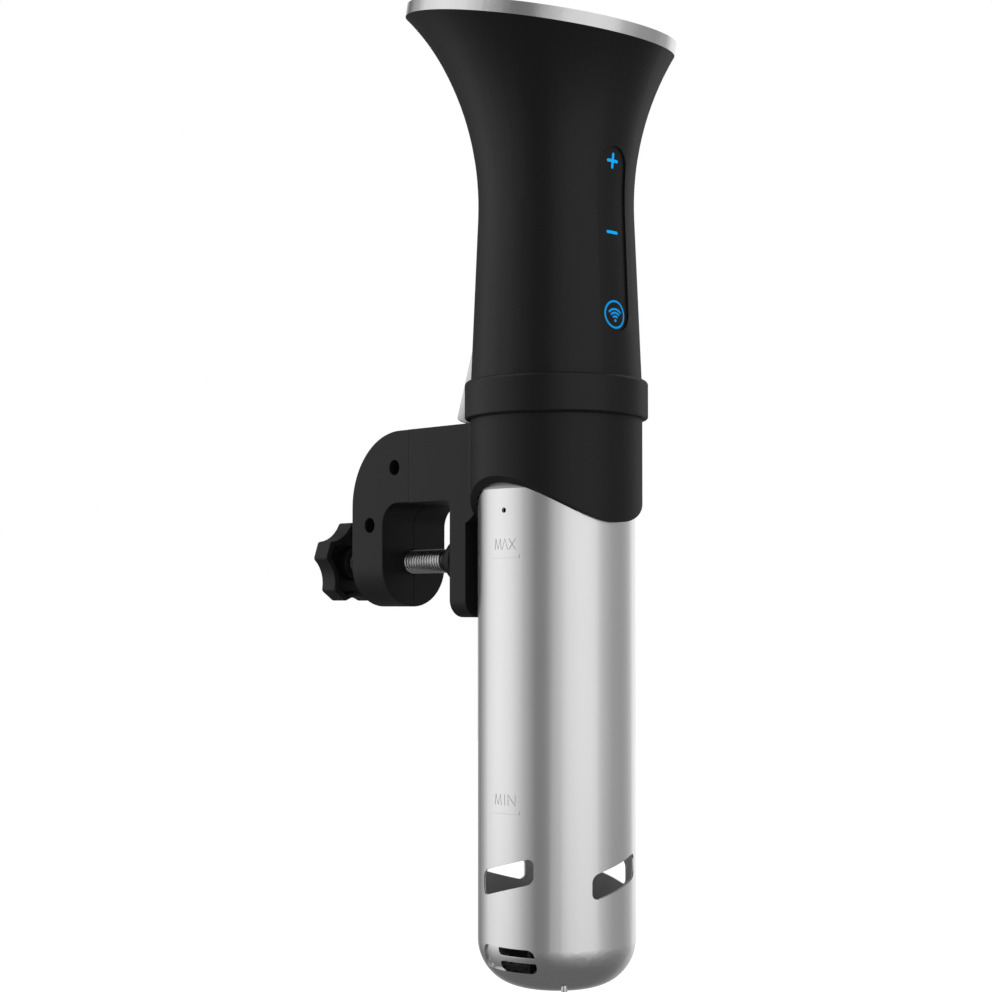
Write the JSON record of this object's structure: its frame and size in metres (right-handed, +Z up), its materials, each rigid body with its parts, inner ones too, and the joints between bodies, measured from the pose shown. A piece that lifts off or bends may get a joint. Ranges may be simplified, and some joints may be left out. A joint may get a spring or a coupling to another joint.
{
  "type": "sous vide circulator",
  "caption": "Stick immersion cooker: flared black head with slanting round top, steel heater skirt with water slots, and a screw clamp that grips a pot's rim.",
  "frame": {"origin": "on the skirt's axis, on the dome's flat bottom", "axes": "+Z up along the skirt's axis; +Y backwards, out of the fixed jaw towards the clamp's hook; the controls face -Y; +X to the right seen from the front"},
  "size_m": [0.1018, 0.1734, 0.3807],
  "materials": {
    "housing_black": "satin moulded plastic",
    "clamp_black": "satin glass-filled plastic",
    "bezel_silver": "brushed and anodised",
    "lens_dark": "gloss window",
    "symbol_blue": "lit inlay",
    "display_black": "display cell",
    "board_green": "circuit board",
    "skirt_steel": "fine brushed stainless steel",
    "pin_steel": "bright stainless steel",
    "screw_steel": "zinc plated",
    "brass": "turned",
    "gland_grey": "pale soft plastic",
    "seal_rubber": "silicone rubber",
    "bush_white": "acetal",
    "pump_plastic": "heat-proof plastic",
    "motor_steel": "zinc plated steel",
    "magnet_grey": "ferrite",
    "copper": "varnished windings and laminations",
    "sink_aluminium": "extruded",
    "part_yellow": "taped coil",
    "part_black": "moulded package"
  },
  "bodies": {
    "head": {"head_shell": "housing_black", "top_bezel": "bezel_silver", "display_lens": "lens_dark", "display_module": "display_black", "display_board": "board_green", "touch_board": "board_green", "plus_symbol": "symbol_blue", "minus_symbol": "symbol_blue", "wireless_symbol": "symbol_blue", "collar_ring": "housing_black", "core_housing": "pump_plastic", "skirt_seal": "seal_rubber", "clamp_sleeve": "clamp_black", "clamp_hook_left": "clamp_black", "clamp_hook_right": "clamp_black", "hook_screws": "screw_steel", "thread_insert": "brass", "cord_gland": "gland_grey", "heater_element": "pin_steel", "heater_ferrules": "seal_rubber", "temperature_probe": "pin_steel", "level_pins": "pin_steel", "shaft_tube": "skirt_steel", "shaft_bush_lower": "bush_white", "shaft_bush_upper": "bush_white", "shaft_seal": "seal_rubber", "pump_plate": "pump_plastic", "motor_plate": "motor_steel", "plate_screws": "screw_steel", "motor_can": "motor_steel", "motor_cap": "bush_white", "motor_magnets": "magnet_grey", "main_board": "board_green", "power_transformer": "part_yellow", "board_capacitor": "part_black", "power_triac": "part_black", "heat_sink": "sink_aluminium"},
    "skirt": {"steel_skirt": "skirt_steel", "outlet_grilles": "skirt_steel", "skirt_feet": "pin_steel"},
    "rotor": {"impeller_shaft": "pin_steel", "shaft_coupling": "pump_plastic", "impeller": "pump_plastic", "impeller_nut": "pin_steel", "motor_rotor": "copper"},
    "foot": {"pressure_pad": "clamp_black", "pad_clip": "screw_steel"},
    "screw": {"clamp_screw": "screw_steel", "clamp_knob": "clamp_black"}
  },
  "joints": [
    {"name": "pad_advance", "type": "slide", "parent": "head", "child": "foot", "axis": [0, -1, 0], "range_m": [-0.0212, 0.0091]},
    {"name": "knob_turn", "type": "hinge", "parent": "foot", "child": "screw", "pos_m": [0, 0.1, 0.1612], "axis": [0, -1, 0], "range_deg": [-5090, 2186]},
    {"name": "impeller_spin", "type": "hinge", "parent": "head", "child": "rotor", "pos_m": [0, 0, 0.1], "axis": [0, 0, 1], "continuous": true},
    {"name": "skirt_pull", "type": "slide", "parent": "head", "child": "skirt", "axis": [0, 0, -1], "range_m": [0, 0.2]}
  ],
  "couplings": [
    {"joint": "knob_turn", "follows": "pad_advance", "rad_per_m": 4188.8}
  ]
}
